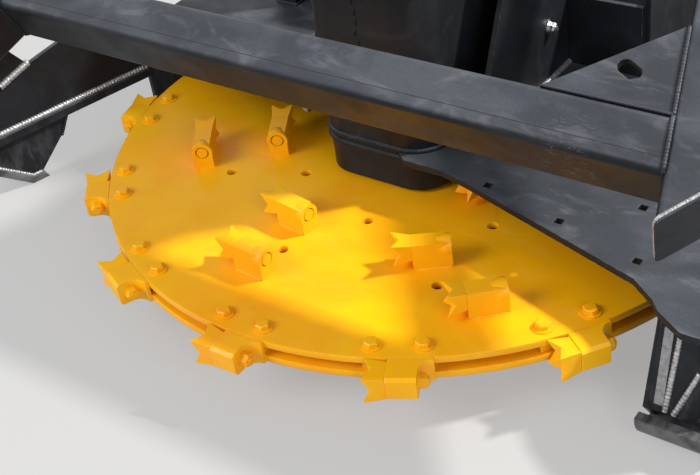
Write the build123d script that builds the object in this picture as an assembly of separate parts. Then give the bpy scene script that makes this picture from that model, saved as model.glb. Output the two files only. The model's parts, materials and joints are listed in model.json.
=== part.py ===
from build123d import *
import math
import os

# Driving sizes in mm
# Work positions are measured from the rotor axis; the front is -Y and the ground is z = 0
SHIFT_X = 79.853
SHIFT_Y = -68.882
DISC_R = 705.0
DISC_TOP = 141.0
PLATE_T = 15.0
SLOT_H = 20.0
DISC_BOTTOM = DISC_TOP - 2 * PLATE_T - SLOT_H
RIM_COUNT = 14
RIM_PHASE = 194.5
RIM_STEP = 360.0 / RIM_COUNT
SHAFT_R = 55.0
BEARING_GAP = 0.05
HUB_R = 170.0

DECK_UNDER = 226.0
DECK_T = 15.0
DECK_TOP = DECK_UNDER + DECK_T
TOWER_TOP = 690.0

SLOPE = 24.0
BAR = 100.0
BAR_ROUND = 12.0
BAR_Y = -460.0
BAR_Z = 541.0
BAR_END = 726.0
FLARE = 13.7
ARM_W = 65.0
ARM_ROUND = 10.0
ARM_TIP = -83.0
# The arms' sides stand plumb, so a flared arm is rolled a little about its own length
ARM_ROLL = math.degrees(math.atan(math.sin(math.radians(FLARE)) * math.tan(math.radians(SLOPE))))
MITRE = math.radians(55)
ARM_LENGTH = 865.0
CAP_T = 6.0

# Rim holders and teeth: reach from the disc's edge, and lengths along the path
HOLDER_IN = DISC_R + 4.0
HOLDER_OUT = HOLDER_IN + 50.0
HOLDER_REAR = -41.0
HOLDER_FRONT = 14.0
HOLDER_BEVEL = 6.0
TOOTH_FRONT = 54.0
TOOTH_WIDE = 54.0
TOOTH_HIGH = 56.0
holder_mid = (HOLDER_IN + HOLDER_OUT) / 2
SWEEP_R = math.hypot(holder_mid + TOOTH_WIDE / 2, TOOTH_FRONT)

# Walls and skids stand clear of what the teeth sweep
WALL_CLEAR = 43.0
LEG_CLEAR = 8.0
WALL_T = 12.0
WALL_X = SWEEP_R + WALL_CLEAR
WALL_LOW = 70.0
WALL_REAR = 330.0
SOLE_T = 20.0
SOLE_IN = WALL_X - 24.0
SOLE_OUT = WALL_X + WALL_T + 20.0
TOE_R = 66.0
LEG_X = WALL_X - 98.0
LEG_BACK = -math.sqrt((SWEEP_R + LEG_CLEAR) ** 2 - LEG_X ** 2)
RUNNER_BACK = 400.0
WING_Y = -36.0
WING_TURN = math.radians(15.6)
RUB_LOW = 133.0
RUB_T = 20.0
SHOE_T = 16.0
TOE_Y = -500.0
BACK_Y = 806.0
BACK_HALF = 500.0
QA_Y = BACK_Y + WALL_T
QA_HALF = 565.0
QA_LOW = 150.0
QA_TOP = 600.0
QA_T = 12.0

parts = {}


def block(x0, x1, y0, y1, z0, z1):
    return Pos((x0 + x1) / 2, (y0 + y1) / 2, (z0 + z1) / 2) * Box(x1 - x0, y1 - y0, z1 - z0)


def slab(points, z0, z1):
    face = make_face(Polyline(*[(x, y, z0) for x, y in points], close=True))
    return extrude(face, z1 - z0, dir=(0, 0, 1))


def side_plate(points, x0, x1):
    face = make_face(Polyline(*[(x0, y, z) for y, z in points], close=True))
    return extrude(face, x1 - x0, dir=(1, 0, 0))


def pipe(radius, z0, z1, x=0.0, y=0.0):
    return Pos(x, y, (z0 + z1) / 2) * Cylinder(radius, z1 - z0)


def upright(start, end, thick, z0, z1):
    # A standing plate along start-end; its thickness lies to the left of the way
    length = math.dist(start, end)
    nx = -(end[1] - start[1]) / length * thick
    ny = (end[0] - start[0]) / length * thick
    return slab([start, end, (end[0] + nx, end[1] + ny), (start[0] + nx, start[1] + ny)], z0, z1)


def around(radius, degrees):
    return radius * math.cos(math.radians(degrees)), radius * math.sin(math.radians(degrees))


def mirrored(shape):
    return mirror(shape, about=Plane.YZ)


def group(shapes):
    return Compound(children=[solid for shape in shapes for solid in shape.solids()])


# Rotor disc: two plates with a slot between them
HOLE_R = 10.5
# Small holes in the top plate: radius from the axis, angle
SMALL_HOLES = [(436, 223.5), (285, 235.2), (322, 279.7), (513, 303.8), (471, 264.5), (364, 322.0)]
top_plate = pipe(DISC_R, DISC_TOP - PLATE_T, DISC_TOP) - pipe(HUB_R, DISC_TOP - PLATE_T - 1, DISC_TOP + 1)
for radius, angle in SMALL_HOLES:
    hx, hy = around(radius, angle)
    top_plate -= pipe(HOLE_R, DISC_TOP - PLATE_T - 1, DISC_TOP + 1, hx, hy)
parts["disc_top_plate"] = top_plate
bottom_plate = pipe(DISC_R, DISC_BOTTOM, DISC_BOTTOM + PLATE_T)
bottom_plate -= pipe(HUB_R, DISC_BOTTOM - 1, DISC_BOTTOM + PLATE_T + 1)
parts["disc_bottom_plate"] = bottom_plate

# Hub with the spindle shaft that goes up into the bearing
SHAFT_TOP = 380.0
hub = pipe(HUB_R, DISC_BOTTOM - 12, DISC_TOP)
hub += pipe(250, DISC_BOTTOM + PLATE_T, DISC_TOP - PLATE_T)
hub -= pipe(40, DISC_BOTTOM - 13, DISC_BOTTOM + 8)
parts["disc_hub"] = hub
parts["spindle_shaft"] = pipe(SHAFT_R, DISC_TOP, SHAFT_TOP)

# Rim holders: a block outside the rim with a tongue held in the slot
NOTCH = 14.0
EAR = 26.0
TONGUE_IN = 640.0
TONGUE_HALF = 62.0
NECK_IN = 696.0


def four_point(width, height, base_width, base_height, length, notch):
    # Square section that flares to four points; x is the way the tooth points
    w0 = base_width / 2
    h0 = base_height / 2
    w1 = width / 2
    h1 = height / 2
    base = Plane((0, 0, 0), x_dir=(0, 1, 0), z_dir=(1, 0, 0)) * Rectangle(2 * w0, 2 * h0)
    tip = Plane((length, 0, 0), x_dir=(0, 1, 0), z_dir=(1, 0, 0)) * Rectangle(2 * w1, 2 * h1)
    body = loft([base, tip])
    for turn in (0, 90):
        half = (h1 if turn == 0 else w1) * 0.98
        cut = make_face(Polyline(
            (length + 1, -half, 0), (length + 1, half, 0), (length - notch, 0, 0), close=True))
        body -= Rot(turn, 0, 0) * (Pos(0, 0, -60) * extrude(cut, 120, dir=(0, 0, 1)))
    return body


def at_station(shape, radius, angle):
    # Local x points clockwise along the path, local y points outwards
    px, py = around(radius, angle)
    return Pos(px, py, 0) * Rot(0, 0, angle - 90) * shape


holder_wide = HOLDER_OUT - HOLDER_IN
disc_mid = (DISC_TOP + DISC_BOTTOM) / 2
holder_section = [
    (-holder_wide / 2, DISC_BOTTOM), (holder_wide / 2 - HOLDER_BEVEL, DISC_BOTTOM),
    (holder_wide / 2, DISC_BOTTOM + HOLDER_BEVEL), (holder_wide / 2, DISC_TOP - HOLDER_BEVEL),
    (holder_wide / 2 - HOLDER_BEVEL, DISC_TOP), (-holder_wide / 2, DISC_TOP)]
rim_holders = []
rim_teeth = []
for index in range(RIM_COUNT):
    angle = RIM_PHASE + index * RIM_STEP
    outline = make_face(Polyline(*[(HOLDER_REAR, y, z) for y, z in holder_section], close=True))
    block_part = extrude(outline, HOLDER_FRONT - HOLDER_REAR, dir=(1, 0, 0))
    neck = block(HOLDER_REAR + 4, HOLDER_FRONT, NECK_IN - holder_mid, 0,
                 DISC_BOTTOM + PLATE_T, DISC_TOP - PLATE_T)
    tongue = block(-TONGUE_HALF, TONGUE_HALF, TONGUE_IN - holder_mid, NECK_IN - holder_mid,
                   DISC_BOTTOM + PLATE_T, DISC_TOP - PLATE_T)
    ear = slab([(HOLDER_REAR - EAR, -60), (HOLDER_REAR, -60), (HOLDER_REAR, EAR - holder_wide / 2),
                (HOLDER_REAR - EAR, EAR - holder_wide / 2)], DISC_BOTTOM, DISC_TOP)
    ear -= pipe(EAR, DISC_BOTTOM - 1, DISC_TOP + 1, HOLDER_REAR - EAR, EAR - holder_wide / 2)
    filler = block(HOLDER_REAR, HOLDER_FRONT, -60, 1 - holder_wide / 2, DISC_BOTTOM, DISC_TOP)
    ear = (ear + filler) - pipe(DISC_R, DISC_BOTTOM - 1, DISC_TOP + 1, 0, -holder_mid)
    holder = at_station(block_part + neck + tongue + ear, holder_mid, angle)
    rim_holders.append(holder)
    tooth = four_point(TOOTH_WIDE, TOOTH_HIGH, 44, 46, TOOTH_FRONT - HOLDER_FRONT, NOTCH)
    tooth = at_station(Pos(HOLDER_FRONT, 0, disc_mid) * tooth, holder_mid, angle)
    rim_teeth.append(tooth)
parts["rim_holders"] = group(rim_holders)
parts["rim_teeth"] = group(rim_teeth)

# Teeth that stand on the top plate: radius, angle, turn away from the path
TOP_TEETH = [
    (258, 333.0, 0), (300, 21.5, 0), (352, 70.0, 0), (400, 119.0, 0), (450, 167.0, 0), (492, 215.5, -1),
    (543.5, 264.5, 1), (595, 312.5, 0.5),
    (271, 164.4, 0), (326, 212.6, -2.6), (393.5, 260.7, 1.3), (442, 303.5, 1.5), (494, 352.4, 0),
    (545, 40.4, 0)]
# A holder is a block with a round collar behind, where the tooth's screw is sunk
TOP_BACK = -34.0
COLLAR_END = -23.0
NECK_END = -6.0
TOP_JOINT = 41.0
TOP_LENGTH = 37.0
TOP_TIP = 48.0
TOP_NOTCH = 15.0
TOP_HIGH = 55.0
TOP_FACE = 37.0
TOP_FOOT = 42.0
AXIS_UP = 38.0
COLLAR_R = 22.5
SCREW_R = 14.5
SCREW_GAP = 2.5
SCREW_DEEP = 5.0


def along_x(radius_a, radius_b, x0, x1):
    # Round piece about a holder's screw, from radius_a at x0 to radius_b at x1
    circle_a = Plane((x0, 0, AXIS_UP), x_dir=(0, 1, 0), z_dir=(1, 0, 0)) * Circle(radius_a)
    if radius_a == radius_b:
        return extrude(circle_a, x1 - x0, dir=(1, 0, 0))
    circle_b = Plane((x1, 0, AXIS_UP), x_dir=(0, 1, 0), z_dir=(1, 0, 0)) * Circle(radius_b)
    return loft([circle_a, circle_b])


top_holders = []
top_teeth = []
for radius, angle, turn in TOP_TEETH:
    profile = make_face(Polyline(
        (COLLAR_END, -TOP_FOOT / 2, 0), (COLLAR_END, TOP_FOOT / 2, 0), (COLLAR_END, TOP_FACE / 2, TOP_HIGH),
        (COLLAR_END, -TOP_FACE / 2, TOP_HIGH), close=True))
    holder = extrude(profile, TOP_JOINT - COLLAR_END, dir=(1, 0, 0))
    holder += block(TOP_BACK, COLLAR_END, -TOP_FOOT / 2, TOP_FOOT / 2, 0, AXIS_UP)
    holder += along_x(COLLAR_R, COLLAR_R, TOP_BACK, COLLAR_END)
    holder += along_x(COLLAR_R, TOP_FACE / 2, COLLAR_END, NECK_END)
    groove = along_x(SCREW_R, SCREW_R, TOP_BACK - 1, TOP_BACK + SCREW_DEEP)
    groove -= along_x(SCREW_R - SCREW_GAP, SCREW_R - SCREW_GAP, TOP_BACK - 2, TOP_BACK + SCREW_DEEP + 1)
    holder -= groove
    px, py = around(radius, angle)
    place = Pos(px, py, DISC_TOP) * Rot(0, 0, angle - 90 + turn)
    top_holders.append(place * holder)
    tooth = four_point(TOP_TIP, TOP_TIP, TOP_FACE, 2 * (TOP_HIGH - AXIS_UP), TOP_LENGTH, TOP_NOTCH)
    top_teeth.append(place * Pos(TOP_JOINT, 0, AXIS_UP) * tooth)
parts["top_holders"] = group(top_holders)
parts["top_teeth"] = group(top_teeth)

# Spindle tower with rounded corners
TOWER_HALF = 140.0
TOWER_FRONT = -201.0
TOWER_REAR = 199.0
TOWER_ROUND = 70.0
TOWER_LOW = DISC_TOP + 8.0
tower_mid = (TOWER_FRONT + TOWER_REAR) / 2
tower_section = RectangleRounded(2 * TOWER_HALF, TOWER_REAR - TOWER_FRONT, TOWER_ROUND)
tower = extrude(Pos(0, tower_mid, TOWER_LOW) * tower_section, TOWER_TOP - TOWER_LOW)
tower -= pipe(SHAFT_R + BEARING_GAP, TOWER_LOW - 1, SHAFT_TOP + 6)
parts["spindle_tower"] = tower

CHEEK_X = 200.0
CHEEK_T = 12.0
CHEEK_REAR = 255.0
PLATE_OUT = CHEEK_X + CHEEK_T
cheek = side_plate([(-150, DECK_TOP), (CHEEK_REAR, DECK_TOP), (CHEEK_REAR, TOWER_TOP), (74, TOWER_TOP)],
                   CHEEK_X, CHEEK_X + CHEEK_T)
parts["tower_cheeks"] = group([cheek, mirrored(cheek)])
TOP_T = 16.0
motor_plate = slab([(-150, TOWER_FRONT), (150, TOWER_FRONT), (PLATE_OUT, 40), (PLATE_OUT, CHEEK_REAR),
                    (-PLATE_OUT, CHEEK_REAR), (-PLATE_OUT, 40)], TOWER_TOP, TOWER_TOP + TOP_T)
parts["motor_plate"] = motor_plate
back_web = block(-CHEEK_X, CHEEK_X, CHEEK_REAR - 12, CHEEK_REAR, DECK_TOP, TOWER_TOP)
parts["tower_back"] = back_web

# Drive motor on the tower
MOTOR_LOW = TOWER_TOP + TOP_T
flange = pipe(118, MOTOR_LOW, MOTOR_LOW + 22)
motor = pipe(92, MOTOR_LOW + 22, MOTOR_LOW + 120)
MOTOR_HALF = 95.0
motor += extrude(Pos(0, 0, MOTOR_LOW + 120) * RectangleRounded(2 * MOTOR_HALF, 170, 20), 62)
parts["motor_flange"] = flange
parts["motor_body"] = motor
PORT_Z = MOTOR_LOW + 150.0
PORT_R = 16.5
PORT_DEPTH = 26.0
PORT_SPREAD = 42.0
PORT_FACE = MOTOR_HALF + 30.0
port_blocks = []
for side in (-1, 1):
    port_y = side * PORT_SPREAD
    port = block(MOTOR_HALF, PORT_FACE, port_y - 30, port_y + 30, PORT_Z - 27, PORT_Z + 27)
    bore = Rot(0, 90, 0) * Cylinder(PORT_R, PORT_DEPTH + 1)
    port -= Pos(PORT_FACE - PORT_DEPTH / 2 + 0.5, port_y, PORT_Z) * bore
    port_blocks.append(port)
parts["motor_ports"] = group(port_blocks)

# Deck over the rear of the disc
deck_outline = [
    (60, TOWER_FRONT), (90, -226), (180, -226), (240, -240), (640, -362), (690, -398), (709, -420),
    (760, -452), (SOLE_OUT, -452), (SOLE_OUT, WALL_REAR + 15), (BACK_HALF + 20, QA_Y), (-BACK_HALF - 20, QA_Y),
    (-SOLE_OUT, WALL_REAR + 15), (-SOLE_OUT, WING_Y + 6), (-TOWER_HALF + 2, -120), (-60, -60), (60, -60)]
deck = slab(deck_outline, DECK_UNDER, DECK_TOP)
deck -= extrude(Pos(0, tower_mid, DECK_UNDER - 1) * tower_section, DECK_T + 2)
SQUARE = 15.0
for hx, hy in [(286, -230), (457, -273), (573, -173), (627, -317)]:
    deck -= Pos(hx, hy, DECK_UNDER + DECK_T / 2) * Box(SQUARE, SQUARE, DECK_T + 2)
parts["deck_plate"] = deck

# Push frame: a tilted square tube between two flared arms
tilt = Plane(origin=(0, BAR_Y, BAR_Z), x_dir=(1, 0, 0),
             z_dir=(0, -math.sin(math.radians(SLOPE)), math.cos(math.radians(SLOPE))))
flare_tan = math.tan(math.radians(FLARE))


def inner_u(v):
    return BAR_END - v * flare_tan


def outer_u(v):
    return inner_u(v) + ARM_W / math.cos(math.radians(FLARE))


def beside_arm(shape):
    # From the inner top edge of the right arm: x outwards, y along it, z up
    return Pos(inner_u(0), 0, 0) * Rot(0, 0, FLARE) * Rot(0, ARM_ROLL, 0) * shape


def between_arms(shape):
    outside = beside_arm(block(0, 900, -2000, 3000, -900, 900))
    return shape - outside - mirrored(outside)


def tube(v0):
    # Square tube across the frame, cut to the arms' inner faces
    raw = Pos(0, v0 + BAR / 2, -BAR / 2) * Box(1800, BAR, BAR)
    raw = fillet(raw.edges().filter_by(Axis.X), BAR_ROUND)
    return tilt * between_arms(raw)


parts["push_bar"] = tube(0.0)
parts["rear_cross_tube"] = tube(ARM_LENGTH - BAR)

arm_raw = Pos(ARM_W / 2, 0, -BAR / 2) * Box(ARM_W, 2400, BAR)
arm_raw = beside_arm(fillet(arm_raw.edges().filter_by(Axis.Y), ARM_ROUND))
tip = (inner_u(ARM_TIP), ARM_TIP)
reach = 160.0
mx = math.cos(MITRE)
my = math.sin(MITRE)
front_a = (tip[0] - reach * mx, tip[1] - reach * my)
front_b = (tip[0] + reach * mx, tip[1] + reach * my)
tail = [(front_b[0], ARM_LENGTH), (300, ARM_LENGTH), (300, front_a[1])]
arm = arm_raw & slab([front_a, front_b] + tail, -BAR - 20, 20)
shift_x = -CAP_T * my
shift_y = CAP_T * mx
inset_a = (front_a[0] + shift_x, front_a[1] + shift_y)
inset_b = (front_b[0] + shift_x, front_b[1] + shift_y)
cap = arm & slab([front_a, front_b, inset_b, inset_a], -BAR - 20, 20)
arm = arm & slab([inset_a, inset_b] + tail, -BAR - 20, 20)
arm = tilt * arm
cap = tilt * cap
parts["push_arms"] = group([arm, mirrored(arm)])
parts["arm_caps"] = group([cap, mirrored(cap)])
GUSSET_T = 12.0
SLOT_TURN = -28.0
GUSSET_END = 265.0
gusset_tip = inner_u(GUSSET_END)
gusset = between_arms(slab(
    [(478, BAR), (inner_u(BAR) + 20, BAR), (gusset_tip + 20, GUSSET_END), (gusset_tip, GUSSET_END)],
    -GUSSET_T - 3, -3))
slot = extrude(Pos(604, 163, -GUSSET_T - 4) * Rot(0, 0, SLOT_TURN) * SlotOverall(46, 25), GUSSET_T + 2)
gusset = tilt * (gusset - slot)
parts["corner_gussets"] = group([gusset, mirrored(gusset)])

# Rear posts under the arms
post_v = ARM_LENGTH - 50
post_x = inner_u(post_v) + 2
post_y = BAR_Y + ARM_LENGTH * math.cos(math.radians(SLOPE)) - 90
post = block(post_x, post_x + ARM_W - 4, post_y, post_y + 80, DECK_TOP, 1000)
post -= tilt * beside_arm(block(-400, 400, 300, 1400, -BAR, 400))
parts["arm_posts"] = group([post, mirrored(post)])

# Frame webs from the tower to the coupler
BEAM_X = 380.0
WEB_SHOULDER = 118.0
WEB_LOW = 420.0
web = side_plate([(CHEEK_REAR, DECK_TOP), (QA_Y, DECK_TOP), (QA_Y, QA_TOP), (QA_Y - WEB_SHOULDER, QA_TOP),
                  (CHEEK_REAR, WEB_LOW)], BEAM_X, BEAM_X + 12)
parts["frame_webs"] = group([web, mirrored(web)])
link = block(PLATE_OUT, BEAM_X, CHEEK_REAR - 12, CHEEK_REAR, DECK_TOP, WEB_LOW - 20)
parts["web_links"] = group([link, mirrored(link)])

# Walls round the disc
wall_right = side_plate([(-467, TOE_R), (-440, DECK_UNDER), (WALL_REAR, DECK_UNDER), (WALL_REAR, SOLE_T),
                         (-434, SOLE_T)], WALL_X, WALL_X + WALL_T)
parts["wall_right"] = wall_right
wall_left = block(-WALL_X - WALL_T, -WALL_X, WING_Y, WALL_REAR, SOLE_T, DECK_UNDER)
parts["wall_left"] = wall_left
corner_right = upright((WALL_X, WALL_REAR), (BACK_HALF, BACK_Y), -WALL_T, WALL_LOW, DECK_UNDER)
parts["wall_corners"] = group([corner_right, mirrored(corner_right)])
parts["wall_back"] = block(-BACK_HALF, BACK_HALF, BACK_Y, BACK_Y + WALL_T, WALL_LOW, DECK_UNDER)

# Flared wing on the open side, drawn in its own plane: way from the wall, height
wing_plane = Plane(origin=(-WALL_X, WING_Y, 0), z_dir=(-math.cos(WING_TURN), math.sin(WING_TURN), 0),
                   x_dir=(-math.sin(WING_TURN), -math.cos(WING_TURN), 0))


def on_wing(points, low, high):
    face = make_face(Polyline(*[(s, z, low) for s, z in points], close=True))
    return wing_plane * extrude(face, high - low, dir=(0, 0, 1))


wing = on_wing([(0, RUB_LOW), (480, RUB_LOW), (480, 371), (420, 431), (395, 431), (295, 292), (204, 313),
                (0, 360)], 0, WALL_T)
parts["left_wing"] = wing & block(-2000, 0, -2000, WING_Y, 0, 600)
parts["left_rub_bar"] = on_wing([(6, RUB_LOW), (480, RUB_LOW), (480, RUB_LOW + RUB_T), (6, RUB_LOW + RUB_T)],
                                -14, 0)
parts["leg_left_plate"] = on_wing(
    [(240, RUB_LOW), (269, 83), (342, SHOE_T), (369, SHOE_T), (447, 75), (470, RUB_LOW)], 0, WALL_T)
parts["shoe_left"] = on_wing([(330, 0), (375, 0), (455, 63), (447, 75), (369, SHOE_T), (342, SHOE_T)], -8, 72)


# Skid runners with a rounded toe
def toe(x0, x1, y_end):
    half = math.sin(math.pi / 4)
    inner_r = TOE_R - SOLE_T
    mid = TOE_Y + TOE_R
    profile = make_face([
        Polyline((x0, mid, 0), (x0, y_end, 0), (x0, y_end, SOLE_T), (x0, mid, SOLE_T)),
        ThreePointArc((x0, mid, SOLE_T), (x0, mid - inner_r * half, TOE_R - inner_r * half),
                      (x0, TOE_Y + SOLE_T, TOE_R)),
        Line((x0, TOE_Y + SOLE_T, TOE_R), (x0, TOE_Y, TOE_R)),
        ThreePointArc((x0, TOE_Y, TOE_R), (x0, mid - TOE_R * half, TOE_R - TOE_R * half), (x0, mid, 0))])
    return extrude(profile, x1 - x0, dir=(1, 0, 0))


runner = toe(LEG_X, SOLE_OUT, LEG_BACK)
runner += block(SOLE_IN, SOLE_OUT, LEG_BACK, RUNNER_BACK, 0, SOLE_T)
parts["runner_right"] = runner
parts["runner_left"] = block(-SOLE_OUT, -SOLE_IN, WING_Y, RUNNER_BACK, 0, SOLE_T)
leg_inner = side_plate([(-467, TOE_R), (-414, DECK_UNDER), (LEG_BACK, DECK_UNDER), (LEG_BACK, SOLE_T),
                        (-434, SOLE_T)], LEG_X, LEG_X + 10)
parts["leg_right_plate"] = leg_inner
parts["leg_right_front"] = side_plate(
    [(-467, TOE_R), (-428, DECK_UNDER), (-418, DECK_UNDER), (-457, TOE_R)], LEG_X + 10, WALL_X)

# Coupler plate for the carrier
LEDGE_T = 12.0
qa_plate = block(-QA_HALF, QA_HALF, QA_Y, QA_Y + QA_T, QA_LOW + LEDGE_T, QA_TOP)
parts["coupler_plate"] = qa_plate
lip = side_plate([(QA_Y, QA_TOP), (QA_Y + QA_T, QA_TOP), (QA_Y + QA_T + 45, QA_TOP + 45),
                  (QA_Y + QA_T + 33, QA_TOP + 54), (QA_Y, QA_TOP + 16)], -QA_HALF, QA_HALF)
parts["coupler_lip"] = lip
LOCK_SPACING = 890.0
ledge = block(-QA_HALF, QA_HALF, QA_Y, QA_Y + QA_T + 70, QA_LOW, QA_LOW + LEDGE_T)
for side in (-1, 1):
    lock_slot = extrude(SlotOverall(60, 28), LEDGE_T + 2)
    ledge -= Pos(side * LOCK_SPACING / 2, QA_Y + QA_T + 38, QA_LOW - 1) * lock_slot
parts["coupler_ledge"] = ledge

os.makedirs("parts", exist_ok=True)
for name, shape in parts.items():
    placed = Pos(SHIFT_X, SHIFT_Y, 0) * shape
    export_step(placed, f"parts/{name}.step")
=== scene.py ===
"""Dresses the disc mulcher's frame: paint, fasteners, weld beads and wear, on a plain pale stage."""
import json
from math import atan, cos, radians, sin, sqrt, tan

import bmesh
import bpy
from bpy.types import NodeSocket, Operator, Panel, PropertyGroup
from mathutils import Matrix, Vector


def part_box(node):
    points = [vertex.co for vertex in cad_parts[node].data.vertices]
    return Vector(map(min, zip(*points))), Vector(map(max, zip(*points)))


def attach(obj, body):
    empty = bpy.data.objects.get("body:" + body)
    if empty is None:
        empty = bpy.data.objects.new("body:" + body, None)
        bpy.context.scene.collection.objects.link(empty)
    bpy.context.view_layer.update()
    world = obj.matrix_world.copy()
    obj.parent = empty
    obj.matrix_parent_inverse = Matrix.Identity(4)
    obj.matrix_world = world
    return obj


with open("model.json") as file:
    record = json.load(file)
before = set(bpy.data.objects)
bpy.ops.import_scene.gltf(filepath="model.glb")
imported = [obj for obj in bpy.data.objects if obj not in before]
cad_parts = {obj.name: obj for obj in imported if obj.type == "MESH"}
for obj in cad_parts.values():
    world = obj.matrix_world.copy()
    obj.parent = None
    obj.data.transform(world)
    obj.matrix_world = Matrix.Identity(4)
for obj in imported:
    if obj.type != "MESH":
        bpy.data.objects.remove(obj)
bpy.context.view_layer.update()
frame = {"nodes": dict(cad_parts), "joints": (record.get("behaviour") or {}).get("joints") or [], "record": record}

bl_info = {
    "name": "Disc mulcher dresser",
    "version": (1, 0, 0),
    "blender": (4, 5, 0),
    "location": "3D View > Sidebar > Mulcher",
    "description": "Paint, fasteners and weld beads for a disc mulcher",
    "category": "Object",
}

NODES = frame["nodes"]
AXIS = Vector(frame["joints"][0]["pos_m"])
MM = 0.001
UP = Vector((0, 0, 1))
DOWN = Vector((0, 0, -1))
RIGHT = Vector((1, 0, 0))
LEFT = Vector((-1, 0, 0))
MERGE = 0.00002

# The looks of added pieces: the body that carries one, its material slot and its finish
BLACK = ("frame", "frame_paint", "frame_black")
# A near-black finish for the bar's seam: painted shade of the seam's groove
SEAM = ("frame", "frame_paint", "recess_dark")
BARE_WELD = ("frame", "bright_steel", "bare_weld")
GROUND = ("frame", "bright_steel", "ground_steel")
ZINC = ("frame", "bright_steel", "zinc")
YELLOW = ("rotor", "rotor_paint", "rotor_yellow")
# Painted shade in the recess round the sunk screws of the surface holders
SCREW_SHADE = ("rotor", "rotor_paint", "recess_dark")


def span(node):
    """A node's lowest and highest x, y and z, in mm from the rotor axis and the ground."""
    low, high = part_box(node)
    reaches = (low.x - AXIS.x, high.x - AXIS.x, low.y - AXIS.y, high.y - AXIS.y, low.z, high.z)
    return [value / MM for value in reaches]


DISC_TOP = span("disc_top_plate")[5]
DISC_LOW = span("disc_bottom_plate")[4]
HUB_LOW = span("disc_hub")[4]
FLANGE_TOP = span("motor_flange")[5]
DECK_LOW, DECK_TOP = span("deck_plate")[4:]
TOWER_LEFT, TOWER_RIGHT, TOWER_FRONT, TOWER_REAR, _, TOWER_TOP = span("spindle_tower")
CHEEK_LEFT, CHEEK_RIGHT, CHEEK_FRONT, CHEEK_REAR, _, _ = span("tower_cheeks")
WALL_IN, WALL_OUT, WALL_FRONT, WALL_REAR, _, _ = span("wall_right")
_, WEB_RIGHT, _, WEB_REAR, _, _ = span("frame_webs")
_, COUPLER_HALF, _, COUPLER_REAR, COUPLER_LOW, COUPLER_TOP = span("coupler_plate")

# Sizes below are in mm unless they say otherwise. Tower and its plates:
TOWER_ROUND = 70.0
CHEEK_T = 12.0
CHEEK_SLOPE_Y = 76.0
CHEEK_BOLT_Y = 161.0
CHEEK_BOLT_Z = 225.0
WEB_T = 12.0
FLANGE_BOLTS = 6
FLANGE_CIRCLE = 104.0

# Plug welds down the front of the tower: number, first height above the deck, step, sway, and one's two ends
PLUG_COUNT = 16
PLUG_START = 90
PLUG_STEP = 22
PLUG_SWAY = 3
PLUG_ENDS = ((-6, 0), (-4, 11))

# Push frame: slope, flare and places of the square tubes
SLOPE = radians(24.0)
FLARE = radians(13.7)
ROLL = atan(sin(FLARE) * tan(SLOPE))
BAR = 100.0
BAR_Y = -460.0
BAR_Z = 541.0
BAR_END = 726.0
BAR_ROUND = 12.0
SEAM_UP = 26.0
SEAM_IN = 8.0
ARM_W = 65.0
ARM_ROUND = 10.0
ARM_TIP = -83.0
ARM_LENGTH = 865.0
MITRE = radians(55.0)
CAP_T = 6.0
GUSSET_START = 478.0
GUSSET_END = 265.0
GUSSET_DOWN = 3.0

# Flared wing on the open side, and its beads as points along and up it
WING_Y = -36.0
WING_TURN = radians(15.6)
WING_LENGTH = 478.0
RUB_TOP = 153.0
NOTCH_BEAD = ((376, 268), (294, 297))
SHOE_BEAD = ((344, 17), (368, 17), (444, 76))
BRACE_BEAD = ((269, 83), (240, RUB_TOP - 20))

# Right leg: its front edge low down and under the deck, and its bare beads as points across and up it
LEG_LOW_Y = -467.0
LEG_LOW_Z = 66.0
LEG_HIGH_Y = -428.0
LEG_HIGH_Z = 226.0
LEG_FOOT_Y = -430.0
LEG_BEADS = (((747.5, 72), (754.5, 214)), ((763, 71), (795, 160)))
SOLE_TOP = 20.0

# Ground strip on the leg's front edge: its place across, and the left half of its section
STRIP_X = 735.0
STRIP_HALF = [(-8.0, -1), (-8.0, 2.0), (-7.0, 3.0), (-1.4, 3.0), (-0.7, 1.8)]

# Rotor stations; the half angle between two bolts is in degrees
RIM_COUNT = 14
RIM_PHASE = 194.5
RIM_ANGLES = [RIM_PHASE + index * 360 / RIM_COUNT for index in range(RIM_COUNT)]
RIM_BOLT_R = 673.0
RIM_BOLT_HALF = 3.87
RIM_HOLDER_R = 734.0
RIM_HOLDER_REAR = 41.0
HUB_BOLTS = 10
HUB_CIRCLE = 125.0

# Surface holders: height of the screw, half width of the foot, reach of the block, depth of the painted shade ring
# round the screw
SCREW_HEIGHT = 38.0
HOLDER_FOOT = 21.0
HOLDER_REACH = 70.0
RING_DEPTH = 4.4


def at(x, y, z):
    """A point given in mm from the rotor axis and the ground, in the frame's metres."""
    return Vector((x * MM + AXIS.x, y * MM + AXIS.y, z * MM))


def on_push_frame(u, v, w):
    """A point of the tilted frame: u across, v up the slope, w square to it."""
    y = BAR_Y + v * cos(SLOPE) - w * sin(SLOPE)
    return at(u, y, BAR_Z + v * sin(SLOPE) + w * cos(SLOPE))


def beside_arm(x, y, z, side=1):
    """A point measured from the inner top edge of an arm: x outwards, y along, z up."""
    rolled_x = x * cos(ROLL) + z * sin(ROLL)
    rolled_z = -x * sin(ROLL) + z * cos(ROLL)
    u = BAR_END + rolled_x * cos(FLARE) - y * sin(FLARE)
    v = rolled_x * sin(FLARE) + y * cos(FLARE)
    return u * side, v, rolled_z


def arm_face(v, w, side):
    """The point of an arm's inner face at v and w of the tilted frame."""
    z = w / cos(ROLL)
    y = (v - z * sin(ROLL) * sin(FLARE)) / cos(FLARE)
    return on_push_frame(*beside_arm(0, y, z, side))


def arm_edge_at_cap(x, z, side):
    """Where an arm's long edge meets its cap plate."""
    tip_u, tip_v, _ = beside_arm(0, ARM_TIP / cos(FLARE), 0)
    tip_u -= CAP_T * sin(MITRE)
    tip_v += CAP_T * cos(MITRE)
    start_u, start_v, _ = beside_arm(x, 0, z)
    across = (start_u - tip_u) * sin(MITRE) - (start_v - tip_v) * cos(MITRE)
    y = across / (sin(FLARE) * sin(MITRE) + cos(FLARE) * cos(MITRE))
    return on_push_frame(*beside_arm(x, y, z, side))


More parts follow.
